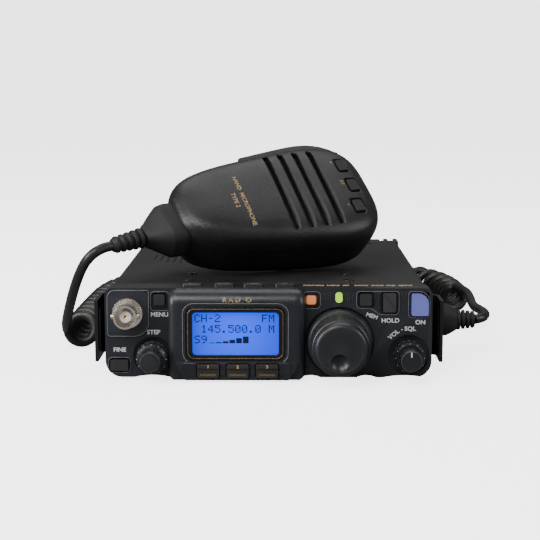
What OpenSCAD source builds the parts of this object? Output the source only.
// Portable mobile transceiver with its hand microphone resting on the top cover.
// X runs across the front panel, Y runs back from the dial, Z is up.
// The origin is under the middle of the set, on the surface that it stands on.

/* [Case] */
// Width across the front panel
panel_w = 135; // [130:1:140]
// Width across the two covers
cover_w = 133; // [128:1:136]
// Height of the top cover above the table
case_h = 38; // [37:0.5:40]
// Depth from the front panel to the heat sink fins
case_d = 165; // [160:1:175]
// Thickness of the covers
sheet = 1; // [0.8:0.1:1.2]
// Height of the rubber feet
foot_h = 1.2; // [1:0.1:1.6]

/* [Front panel] */
// Depth of the panel moulding behind its front face
panel_d = 12; // [11:0.5:14]
// Thickness of the panel's skin
skin = 2; // [1.6:0.2:2.4]
// How far the display bulge stands out
bulge = 6; // [5:0.5:7]
// Gap between a key and its hole
key_gap = 0.3; // [0.25:0.05:0.4]

/* [Knobs] */
// Radius of the tuning dial's skirt
dial_r = 13.7; // [12:0.1:14]
// How far the tuning dial stands out
dial_out = 19.5; // [17:0.5:21]
// Radius of the select knob
select_r = 6.8; // [6:0.1:7]
// Radius of the squelch ring
squelch_r = 6.7; // [6:0.1:7]
// Running gap between a shaft and its bush
shaft_gap = 0.06; // [0.04:0.01:0.08]

/* [Microphone] */
// Length of the microphone's body
mic_l = 94; // [92:1:96]
// Width of the microphone's body
mic_w = 58.5; // [57:0.5:60]
// Wall of the microphone's shells
mic_wall = 1.8; // [1.5:0.1:2.2]
// Lean of the microphone's face from level
mic_tilt = 40; // [38:1:42]
// Turn of the microphone across the top cover
mic_turn = 24; // [22:1:26]

/* [Cord] */
// Diameter of the microphone cord
cord_d = 4.4; // [4:0.1:4.6]
// Outer diameter of the curled part of the cord
coil_d = 16.4; // [15:0.2:16.6]

/* [Hidden] */

$fn = 48;
eps = 0.01;
panel_z0 = 0.8;               // underside of the front panel
panel_top = case_h + 0.2;     // top of the front panel
rear_out = 14.5;              // how far the rear antenna socket stands behind the fins
y_mid = (case_d + rear_out - dial_out) / 2;   // the set's middle, moved to Y = 0
cover_y0 = panel_d + 0.1;     // front edge of both covers
cover_y1 = 152;               // rear edge of both covers, at the heat sink
split_z = 20;                 // where the two covers meet
bottom_z = foot_h;            // outside of the bottom cover
side_x = cover_w / 2;         // outside of the covers

// Centres on the front panel, as [x, z]
dial_c = [29.3, 16.1];
select_c = [-47.8, 9.8];
volume_c = [57.9, 10.4];
bnc_c = [-58, 27.8];

// Front keys, as [x, z, width, height]; the soft keys are all one size
home_c = [-44.9, 33.4, 4.6, 4.4];
clar_c = [-61.7, 5.9, 7.5, 4.7];
soft_c = [[-24.6, 5.2], [-12.5, 5.2], [-0.5, 5.2]];
soft_w = 9;
soft_h = 5.6;
func_c = [17.6, 33.2, 3.8, 3.4];
memo_c = [40, 33.5, 4.9, 4.9];
lock_c = [49.8, 32.3, 5.4, 8];
power_c = [62.4, 31.4, 7, 9.2];
top_key_x = [-31.7, -18.5, -6.4, 6.6];
top_key_w = 7.8;
top_key_d = 4.6;
top_key_y = 5.6;
top_key_up = 1.1;             // how far a top key stands above the panel

// Bulge around the display
bulge_x = [-37.7, 12];
shelf_out = bulge + 1;
window_x = [-33.9, 7];
window_z = [8.9, 31.6];

// Rear connectors, high enough for their plugs to pass over the cord behind the set
rear_antenna_c = [42, 25.2];
jack_z = 20;
dc_x = -52;
key_x = -34;
data_x = -14;
ground_x = 8;

// Cover screws on the top and the heights of the bracket screws
top_screws = [[-34, 21.5], [34, 21.5], [-34, 40], [34, 40], [-50, 146], [50, 146]];
bracket_screw_z = [10.5, 24];

// Speaker under the grille in the top cover
speaker_c = [-38, 92];

// Battery bay in the underside
bay_x = 50;
bay_y = [86, 146];
door_gap = 0.4;
hinge_y = bay_y[1] - 3;
hinge_z = bottom_z + 2.9;
hinge_r = 1.2;

// Microphone: its own axes are x to the top end, y across, z out of the face
mic_at = [3.1, 45 - y_mid, 74.3];
mic_pitch = 4;
mic_curve = 3.4;              // roundness of the outline
mic_sides = 44;               // points round the outline
mic_split = -14.3;             // where the two shells meet
neck_turn = 9.8;              // the neck leans to one side of the body's axis
neck_root = [7.6 - mic_l / 2, -1.9, -13.4];   // where the neck's axis starts, inside the body
boot_l = 37.3;                // from the neck's root to the sleeve's end
mic_keys = [[36.7, 11], [37.1, -1.7], [34.6, -14.3]];
mic_key_w = 4.4;
mic_key_l = 6.7;
slot_x = [2.3, 9.5, 16.6, 23.8];
slot_l = 45;
slot_w = 2.2;
lever_x = [-7.6, 41];
lever_z = [-12.9, -4.5];
stud_at = [11.5, -2];
mic_screw_at = [[-32, -12], [-32, 12], [29, -16], [29, 16]];

// Plug and socket on the right-hand side
plug_y = 53;
plug_z = 15.4;
plug_end = 92.5;

// Routes of the free cord, chosen by hand; the coil lies on the table behind the set
mic_lead = [[-70, 14.3, 52.6], [-74.1, 12.3, 50.1], [-78.2, 15, 45], [-82.8, 23.5, 35.9],
  [-87.7, 37, 24], [-91.3, 50, 14.4], [-92.7, 59.5, 9.5]];
coil_axis = [[-86.5, 61], [-86.5, 90], [-86, 120], [-85, 146], [-82, 166], [-75, 183], [-63.5, 196],
  [-49, 205], [-30, 210.5], [-8, 214], [14, 217], [36, 220], [54, 222], [68, 221], [79, 215],
  [87, 204], [92.5, 189], [95.5, 171], [96.5, 150]];
coil_z = coil_d / 2 + 0.2;
plug_lead = [[96.5, 150, 14.4], [99.4, 143, 14.2], [100.8, 135, 13.6], [100.4, 122, 13.2],
  [99.2, 107, 13.2], [98.4, 92, 14.2], [98.4, 77, 15.6], [98.7, 67, 16.2], [98.3, 60, 16.3],
  [96.3, 55, 15.9], [plug_end, plug_y, plug_z]];

// ---------------------------------------------------------------- helpers

// Moves a piece from the front panel's own axes to the set's middle
module on_set() translate([0, -y_mid, 0]) children();

// Moves a piece from the microphone's own axes to where it rests
module on_mic() translate(mic_at) rotate([0, 0, mic_turn]) rotate([0, -mic_pitch, 0])
  rotate([mic_tilt, 0, 0]) children();

// Turns a flat shape in X and Z into a slab from y0 to y1
module slab(y0, y1) translate([0, y1, 0]) rotate([90, 0, 0]) linear_extrude(y1 - y0) children();

// A box from one corner to the other
module block(a, b) translate(a) cube(b - a);

// A round bar along Y
module bar_y(x, z, r, y0, y1) translate([x, y0, z]) rotate([-90, 0, 0]) cylinder(r = r, h = y1 - y0);

// A rectangle with round corners, centred
module round_rect(w, h, r) {
  square([w - 2 * r, h], center = true);
  square([w, h - 2 * r], center = true);
  for (sx = [-1, 1], sz = [-1, 1])
    translate([sx * (w / 2 - r), sz * (h / 2 - r)]) circle(r, $fn = 32);
}

// The same between two corners in X and Z
module round_window(xs, zs, r)
  translate([(xs[0] + xs[1]) / 2, (zs[0] + zs[1]) / 2]) round_rect(xs[1] - xs[0], zs[1] - zs[0], r);

// A closed solid through rings of equal point count
module loft(rings) {
  n = len(rings[0]);
  last = len(rings) - 1;
  polyhedron(points = [for (ring = rings) each ring],
    faces = concat([[for (i = [0 : n - 1]) i]],
      [for (k = [0 : last - 1], i = [0 : n - 1])
        [k * n + i, (k + 1) * n + i, (k + 1) * n + (i + 1) % n, k * n + (i + 1) % n]],
      [[for (i = [n - 1 : -1 : 0]) last * n + i]]));
}

function unit(v) = v / norm(v);

// Direction of a route at point k
function heading(p, k) = unit(p[min(k + 1, len(p) - 1)] - p[max(k - 1, 0)]);

// A smooth curve through the points, with a few steps to each span
function spline(p, k, t) =
  let (a = p[max(k - 1, 0)], b = p[k], c = p[k + 1], d = p[min(k + 2, len(p) - 1)])
  0.5 * ((2 * b) + (c - a) * t + (2 * a - 5 * b + 4 * c - d) * t * t
    + (3 * b - a - 3 * c + d) * t * t * t);
function route(p, steps) = concat(
  [for (k = [0 : len(p) - 2], j = [0 : steps - 1]) spline(p, k, j / steps)], [p[len(p) - 1]]);

// A tube of radius r along a route; no stretch of any route runs along tube_ref
tube_ref = [1, 1, -1];
module tube(path, r, sides) {
  loft([for (k = [0 : len(path) - 1])
    let (t = heading(path, k), side = unit(cross(t, tube_ref)), up = cross(side, t))
    [for (i = [0 : sides - 1]) let (a = -360 * i / sides)
      path[k] + r * (cos(a) * side + sin(a) * up)]]);
}

// ---------------------------------------------------------------- outlines

// Front outline of the panel, with large lower corners and finger scallops underneath
module panel_outline() {
  half = panel_w / 2;
  low_r = 7;
  top_r = 3;
  difference() {
    union() {
      translate([-half, panel_z0 + low_r]) square([panel_w, panel_top - panel_z0 - low_r - top_r]);
      translate([-half + low_r, panel_z0]) square([panel_w - 2 * low_r, low_r + eps]);
      translate([-half + top_r, panel_top - top_r - eps]) square([panel_w - 2 * top_r, top_r + eps]);
      for (s = [-1, 1]) {
        translate([s * (half - low_r), panel_z0 + low_r]) circle(low_r);
        translate([s * (half - top_r), panel_top - top_r]) circle(top_r);
      }
    }
    for (scallop = [[-48, 15], [17.5, 8], [40.5, 8], [56, 17]]) {
      deep = 0.9;
      r = (scallop[1] * scallop[1] / 4 + deep * deep) / (2 * deep);
      translate([scallop[0], panel_z0 + deep - r]) circle(r, $fn = 180);
    }
  }
}

// Front outline of the display bulge
module bulge_outline() {
  r = 8;
  xs = bulge_x;
  translate([xs[0], panel_z0 + r]) square([xs[1] - xs[0], panel_top - panel_z0 - r]);
  translate([xs[0] + r, panel_z0]) square([xs[1] - xs[0] - 2 * r, r + eps]);
  for (x = [xs[0] + r, xs[1] - r]) translate([x, panel_z0 + r]) circle(r);
}

// Side outline of the bulge: key shelf below, sloping brow above
module bulge_side() polygon([[skin, panel_z0], [-shelf_out + 1.6, panel_z0], [-shelf_out, panel_z0 + 1.2],
  [-shelf_out, 8.2], [-bulge, 8.9], [-bulge, 31.8], [-1.4, panel_top], [skin, panel_top]]);

// A hole for a front key, given as [x, z, width, height]
module key_hole(c, y0, y1) slab(y0, y1) translate([c[0], c[1]])
  round_rect(c[2] + 2 * key_gap, c[3] + 2 * key_gap, 0.8 + key_gap);

// ---------------------------------------------------------------- case

// Feet of the strap brackets: the left one is clear of the socket, the right one in front of it
function bracket_y(s) = s < 0 ? 46.5 : 41;

module bracket_screw_holes(r, deep)
  for (s = [-1, 1], z = bracket_screw_z) translate([s * side_x, bracket_y(s), z])
    rotate([0, 90, 0]) cylinder(r = r, h = deep, center = true);

module chassis() color([0.42, 0.43, 0.45]) on_set() {
  wall_x = side_x - sheet - 0.1;
  wall_z = [4.5, 34.7];
  y0 = 15;
  sink_y = cover_y1 + 0.1;
  sink_t = 5;
  fins = 27;
  difference() {
    union() {
      for (x = [-wall_x, wall_x - 2]) block([x, y0, wall_z[0]], [x + 2, sink_y, wall_z[1]]);
      block([-wall_x, y0, wall_z[0]], [wall_x, y0 + 2, wall_z[1]]);
      block([-wall_x, y0, split_z - 1], [wall_x, sink_y, split_z + 0.6]);
      // bosses that the cover screws enter
      for (c = top_screws) translate([c[0], c[1], split_z]) cylinder(r = 3, h = 16.9);
      // heat sink: a thick rear wall with upright fins
      block([-side_x, sink_y, bottom_z + 0.2], [side_x, sink_y + sink_t, case_h]);
      for (k = [0 : fins - 1])
        translate([-side_x + k * (cover_w - 2) / (fins - 1), sink_y + sink_t - eps, bottom_z + 0.2])
          cube([2, case_d - sink_y - sink_t, case_h - bottom_z - 0.2]);
      block([27, sink_y + 4, 12], [57, case_d - 2, case_h]);
      block([-60, sink_y + 4, jack_z - 8], [-2, case_d - 2, jack_z + 8]);
    }
    // way through the fins in front of the two connector pads
    block([27, case_d - 2, 12], [57, case_d + 1, case_h + 1]);
    block([-60, case_d - 2, jack_z - 8], [-2, case_d + 1, jack_z + 8]);
    // openings for the connectors and the microphone socket
    bar_y(rear_antenna_c[0], rear_antenna_c[1], 8.1, sink_y - 1, case_d + 1);
    bar_y(dc_x, jack_z, 5.2, sink_y - 1, case_d + 1);
    for (x = [key_x, data_x]) bar_y(x, jack_z, 5.2, sink_y - 4, case_d + 1);
    block([48, 44.8, 8.3], [side_x, 62.2, 24.7]);
    for (c = top_screws) translate([c[0], c[1], 26]) cylinder(r = 1.25, h = 20);
    bracket_screw_holes(1.25, 12);
    // wiring window to the front panel
    block([-20, y0 - 1, 22.5], [20, y0 + 3, 33]);
  }
}

// One cover seen from the front: a flat sheet with both edges bent up, height h
module cover_section(h) {
  fold = 3;
  difference() {
    union() {
      translate([-side_x, fold]) square([cover_w, h - fold]);
      translate([-side_x + fold, 0]) square([cover_w - 2 * fold, fold + eps]);
      for (x = [fold - side_x, side_x - fold]) translate([x, fold]) circle(fold);
    }
    translate([-side_x + sheet, fold]) square([cover_w - 2 * sheet, h]);
    translate([-side_x + fold, sheet]) square([cover_w - 2 * fold, fold]);
    for (x = [fold - side_x, side_x - fold]) translate([x, fold]) circle(fold - sheet);
  }
}

module side_cut_outs() {
  block([side_x - 3, 45.6, 9.2], [side_x + 1, 61.4, 23.8]);
  bracket_screw_holes(1.35, 4);
}

module top_cover() color([0.09, 0.09, 0.1]) on_set() difference() {
  slab(cover_y0, cover_y1) translate([0, case_h]) mirror([0, 1])
    cover_section(case_h - split_z - 0.1);
  side_cut_outs();
  // speaker grille: a round field of small holes
  for (i = [-5 : 5], j = [-5 : 5]) if (norm([i, j]) < 5.4)
    translate([speaker_c[0] + i * 3.2, speaker_c[1] + j * 3.2, case_h - sheet - 1])
      cylinder(r = 0.95, h = 4, $fn = 16);
  for (c = top_screws) translate([c[0], c[1], case_h - 2]) cylinder(r = 1.35, h = 4);
}

module bottom_cover() color([0.1, 0.1, 0.11]) on_set() difference() {
  lug_x = bay_x - 1.6;
  union() {
    slab(cover_y0, cover_y1) translate([0, bottom_z]) cover_section(split_z - 0.1 - bottom_z);
    // hinge lugs beside the battery door
    for (x = [-lug_x, lug_x]) {
      translate([x, hinge_y, hinge_z]) rotate([0, 90, 0]) hull() {
        cylinder(r = 2.2, h = 2.4, center = true, $fn = 32);
        translate([-1, 6, 0]) cylinder(r = 2.2, h = 2.4, center = true, $fn = 32);
      }
      block([x - 1.2, hinge_y + 2, bottom_z], [x + 1.2, hinge_y + 6, hinge_z]);
    }
  }
  block([-bay_x, bay_y[0], bottom_z - 1], [bay_x, bay_y[1], bottom_z + sheet]);
  for (x = [-lug_x, lug_x]) translate([x, hinge_y, hinge_z]) rotate([0, 90, 0])
    cylinder(r = hinge_r + shaft_gap, h = 6, center = true);
  side_cut_outs();
}

module battery_pack() color([0.16, 0.2, 0.3]) on_set() for (k = [0 : 7])
  translate([-45.5 + k * 13, 90, 11.6]) rotate([-90, 0, 0]) {
    cylinder(r = 6.2, h = 46);
    translate([0, 0, 46 - eps]) cylinder(r = 2.5, h = 1.2);
  }

module battery_door() color([0.1, 0.1, 0.11]) on_set() {
  lug_x = bay_x - 1.6;
  arm_x = bay_x - 5;
  difference() {
    block([-bay_x + door_gap, bay_y[0] + door_gap, bottom_z],
      [bay_x - door_gap, bay_y[1] - 3 * door_gap, bottom_z + 1]);
    // room for the hinge lugs, and the latch's window
    for (x = [-lug_x, lug_x]) block([x - 1.7, hinge_y - 3.4, 0], [x + 1.7, bay_y[1] + 1, 5]);
    block([-8.3, bay_y[0] + 2.7, 0], [8.3, bay_y[0] + 9.3, 5]);
  }
  // arms with the hinge pins
  for (s = [-1, 1]) {
    block([s * arm_x - 1.1, hinge_y - 2, bottom_z + 1 - eps], [s * arm_x + 1.1, hinge_y + 2, hinge_z]);
    translate([s * arm_x, hinge_y, hinge_z]) rotate([0, 90, 0]) cylinder(r = 2, h = 2.2, center = true);
    translate([s * (bay_x - 3.2), hinge_y, hinge_z]) rotate([0, 90, 0])
      cylinder(r = hinge_r, h = 5.4, center = true);
  }
  // stiffening ribs
  for (x = [-30, 0, 30])
    block([x - 0.6, bay_y[0] + 12, bottom_z + 1 - eps], [x + 0.6, hinge_y - 8, bottom_z + 2.2]);
}

module battery_latch() color([0.14, 0.14, 0.15]) on_set() {
  block([-8, bay_y[0] + 3.2, bottom_z - 0.2], [8, bay_y[0] + 6.2, bottom_z + 1.6]);
  block([-6.5, bay_y[0] + 0.6, bottom_z + 1.25], [6.5, bay_y[0] + 6, bottom_z + 2.4]);
}

module feet() color([0.12, 0.12, 0.12]) on_set()
  for (x = [-56, 56], y = [26, 147]) translate([x, y, 0]) difference() {
    cylinder(r = 5, h = foot_h);
    translate([0, 0, -eps]) cylinder(r = 1.6, h = 0.5);
  }

// One cross-headed screw, head up, with its seat at z = 0
module screw() {
  difference() {
    union() {
      cylinder(r1 = 2.3, r2 = 1.9, h = 0.6);
      cylinder(r = 2.3, h = 0.3);
    }
    for (a = [0, 90]) rotate([0, 0, a]) translate([-1.3, -0.25, 0.25]) cube([2.6, 0.5, 1]);
  }
  translate([0, 0, -7]) cylinder(r = 1.2, h = 7 + eps);
}

module case_screws() color([0.2, 0.2, 0.21]) on_set() {
  for (c = top_screws) translate([c[0], c[1], case_h]) screw();
  for (s = [-1, 1], z = bracket_screw_z)
    translate([s * (side_x + 1.5), bracket_y(s), z]) rotate([0, s * 90, 0]) screw();
}

// A strap bracket in plan: foot on the case, a joggle out, and the plate with the strap slot
module strap_brackets() color([0.08, 0.08, 0.08]) on_set() for (s = [-1, 1]) mirror([s < 0 ? 1 : 0, 0, 0]) {
  foot_y = bracket_y(s);
  t = 1.5;
  out = 6.2;
  difference() {
    translate([side_x, 0, 3.5]) linear_extrude(26.5) polygon([[0, foot_y + 3.5], [0, foot_y - 4.5],
      [out, foot_y - 9.5], [out, 17.5], [out + t, 17.5], [out + t, foot_y - 8.6], [t, foot_y - 3.6],
      [t, foot_y + 3.5]]);
    block([side_x + 5, 21, 7.5], [side_x + 9, 25.6, 26]);
    for (z = bracket_screw_z) translate([side_x, foot_y, z]) rotate([0, 90, 0])
      cylinder(r = 1.35, h = 8, center = true);
  }
}

// ---------------------------------------------------------------- front panel

module front_panel() color([0.11, 0.11, 0.13]) on_set() difference() {
  union() {
    slab(0, panel_d) panel_outline();
    intersection() {
      translate([-panel_w / 2, 0, 0]) rotate([90, 0, 90]) linear_extrude(panel_w) bulge_side();
      slab(-bulge - 5, skin) bulge_outline();
    }
    // outlined plate round the antenna socket
    slab(-0.5, eps) difference() {
      round_window([-66.3, -49.4], [18.2, 37.2], 3);
      translate([-49.4, 18.2]) difference() {
        translate([-6, -1]) square(7);
        translate([-6, 6]) circle(6);
      }
    }
  }
  // hollow behind the skin, and the deeper hollow of the bulge
  slab(skin, panel_d + 1) round_window([-side_x + 1.2, side_x - 1.2], [panel_z0 + 2, panel_top - 2], 3);
  block([bulge_x[0] + 2.2, -bulge + 2, panel_z0 + 2], [bulge_x[1] - 2.2, skin + eps, 33]);
  // display window seat and the light opening behind it
  slab(-bulge - 2, -bulge + 1.2) round_window(window_x, window_z, 3.4);
  slab(-bulge, 0) round_window([-32, 5.2], [10.6, 30], 2);
  // dial, select and volume recesses with their shaft holes
  bar_y(dial_c[0], dial_c[1], dial_r + 0.7, -1, 1.2);
  bar_y(dial_c[0], dial_c[1], 5.2, -1, panel_d);
  bar_y(select_c[0], select_c[1], 8.1, -1, 1.2);
  bar_y(select_c[0], select_c[1], 4.2, -1, panel_d);
  bar_y(volume_c[0], volume_c[1], 8.5, -1, 1.2);
  bar_y(volume_c[0], volume_c[1], 4.2, -1, panel_d);
  bar_y(bnc_c[0], bnc_c[1], 4.9, -1, panel_d);
  // pockets round the keys
  slab(-1, 1) {
    round_window([-48.4, -41], [28.9, 36.6], 1.4);
    round_window([-66.2, -57.2], [2.8, 9], 1.6);
    round_window([14.4, 21.3], [29.8, 36.6], 1.6);
    round_window([36.4, 43.6], [30, 36.8], 1.2);
    round_window([46, 53.6], [27.3, 36.8], 1.6);
    round_window([57.8, 66.4], [26, 36.8], 1.6);
  }
  slab(-shelf_out - 1, -shelf_out + 1) for (c = soft_c) translate(c)
    round_rect(soft_w + 1.4, soft_h + 1.2, 1.2);
  for (c = [home_c, clar_c, func_c, memo_c, lock_c, power_c]) key_hole(c, -1, skin + 2);
  for (c = soft_c) key_hole([c[0], c[1], soft_w, soft_h], -shelf_out - 1, skin + 1);
  slab(-1, skin + 1) translate([29, 34.4]) round_rect(3, 4.5, 1.4);
  for (x = top_key_x) translate([x, top_key_y, panel_top - 3]) linear_extrude(5)
    round_rect(top_key_w + 2 * key_gap, top_key_d + 2 * key_gap, 0.8 + key_gap);
}

module display_window() color([0.03, 0.03, 0.05]) on_set() {
  slab(-bulge - 0.1, -bulge + 1.1) round_window([window_x[0] + 0.1, window_x[1] - 0.1],
    [window_z[0] + 0.1, window_z[1] - 0.1], 3.3);
}

module display_module() color([0.3, 0.46, 1]) on_set() {
  block([-33, -3.4, 9.6], [6.2, 0.4, 31]);
  slab(-4.6, -3.4 + eps) round_window([-31.2, 4.4], [11.2, 29.2], 1.2);
}

module panel_board() color([0.08, 0.3, 0.16]) on_set() difference() {
  block([-62, 5.8, 4.5], [62, 7.4, 33.3]);
  bar_y(dial_c[0], dial_c[1], 5.2, 5, 8);
  bar_y(select_c[0], select_c[1], 4.2, 5, 8);
  bar_y(volume_c[0], volume_c[1], 4.2, 5, 8);
  bar_y(bnc_c[0], bnc_c[1], 5, 5, 8);
}

module dial_encoder() color([0.6, 0.6, 0.58]) on_set() difference() {
  union() {
    slab(7.5, 13) translate(dial_c) round_rect(18, 18, 1.5);
    bar_y(dial_c[0], dial_c[1], 5, 1.3, 7.6);
  }
  bar_y(dial_c[0], dial_c[1], 3 + shaft_gap, 0, 11);
}

module select_encoder() color([0.6, 0.6, 0.58]) on_set() difference() {
  union() {
    slab(7.5, 13) translate(select_c) round_rect(11.6, 10, 1);
    bar_y(select_c[0], select_c[1], 4, 1.3, 7.6);
  }
  bar_y(select_c[0], select_c[1], 2 + shaft_gap, 0, 11.8);
}

module volume_control() color([0.6, 0.6, 0.58]) on_set() difference() {
  union() {
    slab(7.5, 14) translate(volume_c) round_rect(11, 11, 1);
    bar_y(volume_c[0], volume_c[1], 4, 1.3, 7.6);
  }
  bar_y(volume_c[0], volume_c[1], 3 + shaft_gap, 0, 7);
  bar_y(volume_c[0], volume_c[1], 1.5 + shaft_gap, 0, 12.5);
}

module status_lamp() color([0.75, 0.95, 0.2]) on_set() {
  slab(-0.5, skin) translate([29, 34.4]) round_rect(2.8, 4.3, 1.3);
  slab(skin, skin + 1.2) translate([29, 34.2]) round_rect(4.2, 3.8, 0.8);
  slab(skin + 1.2 - eps, 5.8) translate([29, 32.2]) round_rect(2.4, 1.8, 0.4);
}

module front_antenna_socket() color([0.78, 0.75, 0.7]) on_set() {
  x = bnc_c[0];
  z = bnc_c[1];
  difference() {
    union() {
      bar_y(x, z, 6.2, -1.5, -0.5);
      bar_y(x, z, 4.83, -11, 9);
      for (lug_x = [x - 5.2, x + 5.2]) translate([lug_x, -8.6, z]) rotate([0, 90, 0])
        cylinder(r = 0.95, h = 1.2, center = true);
      bar_y(x, z, 5.4, -3.2, -1.5 + eps);
    }
    bar_y(x, z, 4.05, -12, -3);
  }
  // insulator and centre contact
  difference() {
    bar_y(x, z, 2.35, -9, -3 + eps);
    bar_y(x, z, 0.7, -10, -4);
  }
  slab(7.5, 9.5) translate(bnc_c) rotate(30) circle(6.3, $fn = 6);
}

// ---------------------------------------------------------------- knobs

module main_dial() color([0.12, 0.12, 0.13]) on_set() translate([dial_c[0], 0, dial_c[1]]) {
  difference() {
    rotate([90, 0, 0]) rotate_extrude($fn = 96) polygon([[0, -0.5], [dial_r - 0.7, -0.5], [dial_r, 0.3],
      [dial_r, 3.2], [dial_r - 0.8, 4.6], [dial_r - 1.5, 5.2], [11.5, dial_out - 3.2],
      [11.2, dial_out - 1.6], [10.2, dial_out - 0.4], [9.2, dial_out], [0, dial_out]]);
    // finger dimple
    translate([-0.6, -dial_out - 2.6, -5.2]) sphere(r = 4.4, $fn = 48);
  }
  bar_y(0, 0, 3, 0, 10.5);
}

module select_plunger() color([0.62, 0.62, 0.6]) on_set() bar_y(select_c[0], select_c[1], 2, -10, 10.8);

module select_knob() color([0.11, 0.11, 0.12]) on_set()
  translate([select_c[0], 0, select_c[1]]) difference() {
  union() {
    rotate([90, 0, 0]) rotate_extrude($fn = 72) polygon([[0, 1.6], [select_r - 0.9, 1.6],
      [select_r - 0.5, 2], [select_r - 0.5, 6.6], [select_r - 1.2, 7.4], [5, 8], [4.6, 13],
      [3.9, 14], [0, 14]]);
    // grip teeth round the base
    for (k = [0 : 17]) rotate([0, k * 20, 0]) translate([select_r - 0.9, 0, 0]) rotate([90, 0, 0])
      translate([0, 0, 1.9]) cylinder(r = 0.6, h = 4.6, $fn = 16);
  }
  bar_y(0, 0, 2 + shaft_gap, -10.2, 0);
}

module squelch_ring() color([0.1, 0.1, 0.11]) on_set()
  translate([volume_c[0], 0, volume_c[1]]) difference() {
  union() {
    rotate([90, 0, 0]) rotate_extrude($fn = 72) polygon([[0, 1.6], [squelch_r - 0.4, 1.6],
      [squelch_r - 0.4, 6.4], [squelch_r - 1.1, 7.2], [0, 7.2]]);
    for (k = [0 : 17]) rotate([0, k * 20, 0]) translate([squelch_r - 0.6, 0, 0]) rotate([90, 0, 0])
      translate([0, 0, 1.8]) cylinder(r = 0.5, h = 4.4, $fn = 16);
    bar_y(0, 0, 3, -2, 6.4);
  }
  bar_y(0, 0, 1.5 + 0.1, -8, 8);
}

module volume_knob() color([0.11, 0.11, 0.12]) on_set() translate([volume_c[0], 0, volume_c[1]]) {
  difference() {
    union() {
      rotate([90, 0, 0]) rotate_extrude($fn = 72)
        polygon([[0, 7.6], [4.7, 7.6], [4.7, 12.6], [4, 14], [0, 14]]);
      for (k = [0 : 13]) rotate([0, k * 360 / 14, 0]) translate([4.5, 0, 0]) rotate([90, 0, 0])
        translate([0, 0, 7.8]) cylinder(r = 0.45, h = 4.6, $fn = 16);
    }
    // pointer groove
    translate([-0.35, -15, 1.6]) cube([0.7, 1.5, 4]);
  }
  bar_y(0, 0, 1.5, -8, 12);
}

// ---------------------------------------------------------------- keys

// A front key's flange behind the skin, kept inside the hollow of the panel
module key_flange(c, grow_w, grow_h) slab(skin + 0.3, skin + 1.3) intersection() {
  translate([c[0], c[1]]) round_rect(c[2] + grow_w, c[3] + grow_h, 0.6);
  round_window([-side_x + 1.6, side_x - 1.6], [panel_z0 + 2.4, panel_top - 2.4], 2.8);
}

// A front key: cap through the skin and the flange that holds it
module front_key(c) {
  slab(-0.9, skin + 0.4) translate([c[0], c[1]]) round_rect(c[2], c[3], 0.8);
  key_flange(c, 1.6, 1.2);
}

module home_key() color([0.2, 0.2, 0.2]) on_set() front_key(home_c);
module clarifier_key() color([0.16, 0.16, 0.17]) on_set() front_key(clar_c);
module function_key() color([0.95, 0.6, 0.35]) on_set() front_key(func_c);
module memory_key() color([0.18, 0.17, 0.18]) on_set() front_key(memo_c);
module lock_key() color([0.18, 0.17, 0.18]) on_set() front_key(lock_c);

module soft_key(k) {
  c = soft_c[k];
  wall_y = -bulge + 2;
  difference() {
    slab(-shelf_out - 1.2, wall_y + 0.4) translate(c) round_rect(soft_w, soft_h, 0.8);
    // finger step across the cap
    block([c[0] - soft_w, -shelf_out - 2, c[1] - 0.9], [c[0] + soft_w, -shelf_out - 0.5, c[1] + 1]);
  }
  slab(wall_y + 0.3, wall_y + 1.3) translate(c) round_rect(soft_w + 1.4, soft_h - 1.2, 0.6);
  bar_y(c[0], c[1], 1.4, wall_y + 1, 4.8);
}
module soft_key_a() color([0.25, 0.22, 0.18]) on_set() soft_key(0);
module soft_key_b() color([0.25, 0.22, 0.18]) on_set() soft_key(1);
module soft_key_c() color([0.25, 0.22, 0.18]) on_set() soft_key(2);

// The power key has one large round corner
module power_key() color([0.45, 0.46, 0.74]) on_set() {
  w = power_c[2];
  h = power_c[3];
  r = 4.2;
  slab(-0.9, skin + 0.4) translate([power_c[0], power_c[1]]) difference() {
    round_rect(w, h, 0.8);
    translate([w / 2 - r, h / 2 - r]) difference() {
      square(r + 1);
      circle(r);
    }
  }
  key_flange(power_c - [0.8, 0, 0, 0], 0.8, 0.8);
}

module top_key(k) {
  x = top_key_x[k];
  wall_z = panel_top - 2;
  translate([x, top_key_y, wall_z - 0.4]) linear_extrude(2.4 + top_key_up)
    round_rect(top_key_w, top_key_d, 0.8);
  translate([x, top_key_y, wall_z - 1.3]) linear_extrude(1)
    round_rect(top_key_w + 1.6, top_key_d + 1.2, 0.6);
}
module top_key_1() color([0.15, 0.15, 0.16]) on_set() top_key(0);
module top_key_2() color([0.15, 0.15, 0.16]) on_set() top_key(1);
module top_key_3() color([0.15, 0.15, 0.16]) on_set() top_key(2);
module top_key_4() color([0.15, 0.15, 0.16]) on_set() top_key(3);

// ---------------------------------------------------------------- inside and rear

module main_board() color([0.08, 0.3, 0.16]) on_set() {
  difference() {
    block([-60, 50, 24.8], [60, 141, 26.4]);
    block([44, 44, 20], [61, 64, 27]);
  }
  // shielding cans and the tall parts between them
  block([-14, 60, 26.4 - eps], [36, 84, 31]);
  block([2, 92, 26.4 - eps], [50, 120, 30]);
  for (k = [0 : 4]) translate([-8 + k * 12, 130, 26.4 - eps]) cylinder(r = 4, h = 9);
}

module speaker() color([0.3, 0.3, 0.3]) on_set() translate([speaker_c[0], speaker_c[1], 0]) {
  translate([0, 0, 33.5]) difference() {
    cylinder(r = 19, h = 3.4);
    translate([0, 0, 1]) cylinder(r1 = 8, r2 = 17, h = 2.5);
  }
  translate([0, 0, 26.6]) cylinder(r = 10, h = 7);
}

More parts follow.
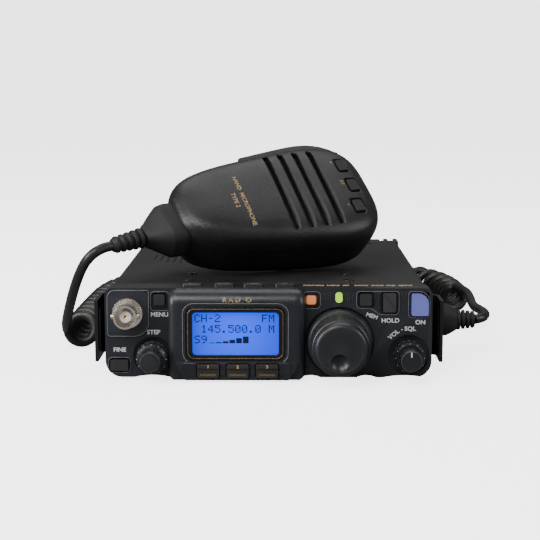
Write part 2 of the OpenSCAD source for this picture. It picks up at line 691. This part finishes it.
module rear_antenna_socket() color([0.75, 0.74, 0.7]) on_set() difference() {
  x = rear_antenna_c[0];
  z = rear_antenna_c[1];
  union() {
    slab(case_d - 2, case_d) translate([x, z]) round_rect(25.2, 25.2, 2);
    bar_y(x, z, 7.9, case_d - 12, case_d + rear_out);
  }
  bar_y(x, z, 6, case_d + 3, case_d + rear_out + 1);
  for (sx = [-1, 1], sz = [-1, 1]) bar_y(x + sx * 9.2, z + sz * 9.2, 1.6, case_d - 3, case_d + 1);
  bar_y(x, z, 2, case_d - 6, case_d + 4);
}

module dc_jack() color([0.08, 0.08, 0.08]) on_set() {
  difference() {
    bar_y(dc_x, jack_z, 5, case_d - 13, case_d - 0.5);
    bar_y(dc_x, jack_z, 2.6, case_d - 10, case_d);
  }
  bar_y(dc_x, jack_z, 0.85, case_d - 11, case_d - 2);
}

module key_jack() color([0.1, 0.1, 0.1]) on_set() difference() {
  bar_y(key_x, jack_z, 5, case_d - 16, case_d - 0.5);
  bar_y(key_x, jack_z, 1.85, case_d - 14, case_d);
}

module data_jack() color([0.5, 0.5, 0.5]) on_set() {
  difference() {
    bar_y(data_x, jack_z, 5, case_d - 14, case_d - 0.5);
    bar_y(data_x, jack_z, 4.3, case_d - 9, case_d);
  }
  for (a = [0 : 60 : 300])
    bar_y(data_x + 2.6 * cos(a), jack_z + 2.6 * sin(a), 0.4, case_d - 9.5, case_d - 2.5);
}

module ground_terminal() color([0.72, 0.7, 0.62]) on_set() {
  difference() {
    bar_y(ground_x, jack_z, 4.4, case_d, case_d + 3);
    for (a = [0 : 30 : 330])
      bar_y(ground_x + 4.6 * cos(a), jack_z + 4.6 * sin(a), 0.45, case_d - 1, case_d + 4);
  }
  bar_y(ground_x, jack_z, 1.9, case_d + 3 - eps, case_d + 8);
}

// Modular socket for the microphone plug, open to the right
module mic_socket() color([0.07, 0.07, 0.07]) on_set() difference() {
  block([50.5, 46, 9.6], [side_x, 61, 23.4]);
  block([55, 47.4, 11.4], [side_x + 1, 58.8, 19.6]);
}

// ---------------------------------------------------------------- microphone

// Point u, v of the body's outline: a rounded oblong, wider towards its top end
function swell(c) = sign(c) * pow(abs(c), 2 / mic_curve);
function mic_point(a, inset) = let (u = swell(cos(a)), v = swell(sin(a)))
  [u * (mic_l / 2 - inset), v * (0.89 + 0.21 * u) * (mic_w / 2 - inset)];
function mic_ring(inset, z) = [for (i = [0 : mic_sides - 1])
  let (p = mic_point(360 * i / mic_sides, inset)) [p[0], p[1], z]];

// Outside of the body from the face down, as [inset, z]
mic_face = [[8.6, -0.02], [4.8, -0.9], [1.9, -2.8], [0.4, -6], [0, -9.1], [0.2, mic_split]];
mic_back = [[0.2, mic_split - 0.02], [0.8, -19.2], [2.1, -24.4], [5.1, -28.7], [10.7, -31.4],
  [18.4, -32.5]];

// The talk lever's slot in the upper long side
module lever_slot(grow) block([lever_x[0] - grow, 18.4, lever_z[0] - grow],
  [lever_x[1] + grow, 36, lever_z[1] + grow]);

module mic_front_shell() color([0.12, 0.12, 0.12]) on_mic() difference() {
  loft([for (k = [len(mic_face) - 1 : -1 : 0]) mic_ring(mic_face[k][0], mic_face[k][1])]);
  loft([mic_ring(0.2 + mic_wall, mic_split - 1), mic_ring(mic_wall, -9.5), mic_ring(2 + mic_wall, -4.6),
    mic_ring(7 + mic_wall, -mic_wall)]);
  for (x = slot_x) translate([x, 0, -4]) rotate([0, 0, -1.8]) linear_extrude(6)
    round_rect(slot_w, slot_l, 1);
  for (c = mic_keys) translate([c[0], c[1], -6]) linear_extrude(8)
    round_rect(mic_key_w + 0.6, mic_key_l + 0.6, 1.1);
  lever_slot(0.45);
  neck_hole();
}

module mic_rear_shell() color([0.1, 0.1, 0.1]) on_mic() difference() {
  loft([for (k = [len(mic_back) - 1 : -1 : 0]) mic_ring(mic_back[k][0], mic_back[k][1])]);
  loft([mic_ring(14 + mic_wall, -32.5 + mic_wall), mic_ring(3.4 + mic_wall, -26),
    mic_ring(0.8 + mic_wall, -19), mic_ring(0.2 + mic_wall, mic_split + 1)]);
  for (p = mic_screw_at) translate([p[0], p[1], -40]) cylinder(r = 1.5, h = 20);
  translate([stud_at[0], stud_at[1], -40]) cylinder(r = 1.6, h = 20);
  neck_hole();
}

// Room for the cord's neck in both shells
module neck_hole() translate(neck_root) rotate([0, -90, neck_turn])
  translate([0, 0, -4]) cylinder(r = 4.3, h = 20);

module talk_lever() color([0.1, 0.1, 0.1]) on_mic() {
  difference() {
    translate([0, 0, lever_z[0]]) linear_extrude(lever_z[1] - lever_z[0]) polygon(concat(
      [for (i = [0 : 10]) let (t = i / 10, p = mic_point(98 - 62 * t, 0))
        [p[0], p[1] + 2.4 * sin(180 * min(1, 0.12 + t))]],
      [for (i = [10 : -1 : 0]) let (t = i / 10, p = mic_point(98 - 62 * t, 3.2 + 0.9 * t)) p]));
    translate([lever_x[0], 0, lever_z[0] - 1]) mirror([1, 0, 0]) cube([30, 60, 20]);
    translate([lever_x[1], 0, lever_z[0] - 1]) cube([30, 60, 20]);
  }
  // pivot pin at the lever's lower end
  translate([lever_x[0] + 0.6, 23.4, lever_z[0] - 0.2]) cylinder(r = 0.55, h = lever_z[1] - lever_z[0] + 0.4);
}

module mic_key(k) translate([mic_keys[k][0], mic_keys[k][1], 0]) {
  translate([0, 0, -5]) linear_extrude(5.3) round_rect(mic_key_w, mic_key_l, 0.8);
  translate([0, 0, -5.7]) linear_extrude(0.9) round_rect(mic_key_w + 1.2, mic_key_l + 1, 0.8);
}
module mic_key_up() color([0.09, 0.09, 0.09]) on_mic() mic_key(0);
module mic_key_fast() color([0.09, 0.09, 0.09]) on_mic() mic_key(1);
module mic_key_down() color([0.09, 0.09, 0.09]) on_mic() mic_key(2);

module mic_capsule() color([0.35, 0.35, 0.35]) on_mic() translate([12, 0, 0]) {
  translate([0, 0, -12]) cylinder(r = 14, h = 7);
  translate([0, 0, -17]) cylinder(r = 9, h = 5 + eps);
}

module mic_board() color([0.1, 0.32, 0.18]) on_mic() {
  block([27, -16, -8.4], [40, 14, -7]);
  block([-36, -10, -20], [-2, 8, -18.6]);
}

module mic_screws() color([0.2, 0.2, 0.2]) on_mic() for (p = mic_screw_at)
  translate([p[0], p[1], -28.5]) cylinder(r = 1.4, h = 9);

module hanger_stud() color([0.7, 0.7, 0.68]) on_mic() translate([stud_at[0], stud_at[1], 0]) {
  translate([0, 0, -39.9]) cylinder(r1 = 5, r2 = 5.5, h = 1.4);
  translate([0, 0, -38.5 - eps]) cylinder(r = 3, h = 5.95);
  translate([0, 0, -32.6]) cylinder(r = 1.5, h = 4);
}

// Moulded neck: a broad block on the body's end, then a ribbed sleeve round the cord
module neck_boot() color([0.08, 0.08, 0.08]) on_mic() translate(neck_root)
  rotate([0, -90, neck_turn]) {
    translate([0, 0, -2]) cylinder(r = 4, h = 12);
    loft([for (p = [[9.4, 9.1, 12], [11.8, 8.8, 11.7], [16.3, 7.3, 10], [20, 5.6, 7.1], [22.4, 4.4, 4.8]])
      [for (i = [0 : 23]) let (a = 15 * i) [p[1] * cos(a), p[2] * sin(a), p[0]]]]);
    translate([0, 0, 19]) cylinder(r = 3, h = boot_l - 19);
    for (k = [0 : 4]) translate([0, 0, 23.3 + k * 2.8]) cylinder(r = 4.4 - 0.2 * k, h = 1.55);
  }

// ---------------------------------------------------------------- cord

function on_mic_point(p) = let (
    a = [p[0], p[1] * cos(mic_tilt) - p[2] * sin(mic_tilt), p[1] * sin(mic_tilt) + p[2] * cos(mic_tilt)],
    b = [a[0] * cos(mic_pitch) - a[2] * sin(mic_pitch), a[1],
      a[0] * sin(mic_pitch) + a[2] * cos(mic_pitch)])
  mic_at + [b[0] * cos(mic_turn) - b[1] * sin(mic_turn), b[0] * sin(mic_turn) + b[1] * cos(mic_turn), b[2]];
// Where the cord leaves the sleeve, a little way off its end
lead_start = boot_l + 0.35;
neck_tip = on_mic_point(neck_root - lead_start * [cos(neck_turn), sin(neck_turn), 0]);

function moved(p) = [for (q = p) q - [0, y_mid, 0]];

module cord_lead_mic() color([0.07, 0.07, 0.07])
  tube(route(concat([neck_tip], moved(mic_lead)), 3), cord_d / 2, 10);

module cord_coil() color([0.07, 0.07, 0.07])
  tube(route(moved([for (p = coil_axis) [p[0], p[1], coil_z]]), 2), coil_d / 2, 12);

module cord_lead_plug() color([0.07, 0.07, 0.07])
  tube(route(moved(plug_lead), 3), cord_d / 2, 10);

module mic_plug() color([0.12, 0.13, 0.12]) on_set() translate([0, plug_y, plug_z]) {
  translate([56.5, -5.4, -3.7]) cube([side_x - 56.5 + 1, 10.8, 7.6]);
  translate([side_x + 0.3, 0, 0]) rotate([0, 90, 0]) linear_extrude(10) round_rect(15, 13, 2);
  translate([side_x + 10.3 - eps, 0, 0]) rotate([0, 90, 0])
    loft([for (p = [[0, 7.5, 6.5], [3, 7.1, 6.2], [6.2, 5.4, 5.2], [7.6, 4.4, 4.4]])
      [for (i = [0 : 23]) let (a = 15 * i + 7.5, k = 0.75) [p[1] * sign(cos(a)) * pow(abs(cos(a)), k),
        p[2] * sign(sin(a)) * pow(abs(sin(a)), k), p[0]]]]);
  translate([side_x + 16, 0, 0]) rotate([0, 90, 0]) cylinder(r = 3, h = plug_end - side_x - 16);
  for (k = [0 : 3]) translate([84.6 + k * 2.1, 0, 0]) rotate([0, 90, 0])
    cylinder(r = 4.6 - 0.25 * k, h = 1.2);
}

chassis();
top_cover();
bottom_cover();
battery_pack();
battery_door();
battery_latch();
front_panel();
display_window();
display_module();
panel_board();
main_board();
speaker();
front_antenna_socket();
rear_antenna_socket();
dc_jack();
data_jack();
key_jack();
ground_terminal();
mic_socket();
dial_encoder();
select_encoder();
volume_control();
strap_brackets();
case_screws();
feet();
status_lamp();
main_dial();
select_plunger();
select_knob();
volume_knob();
squelch_ring();
home_key();
clarifier_key();
soft_key_a();
soft_key_b();
soft_key_c();
function_key();
memory_key();
lock_key();
power_key();
top_key_1();
top_key_2();
top_key_3();
top_key_4();
mic_front_shell();
mic_rear_shell();
talk_lever();
mic_key_up();
mic_key_fast();
mic_key_down();
mic_capsule();
mic_board();
mic_screws();
neck_boot();
hanger_stud();
cord_lead_mic();
cord_coil();
cord_lead_plug();
mic_plug();
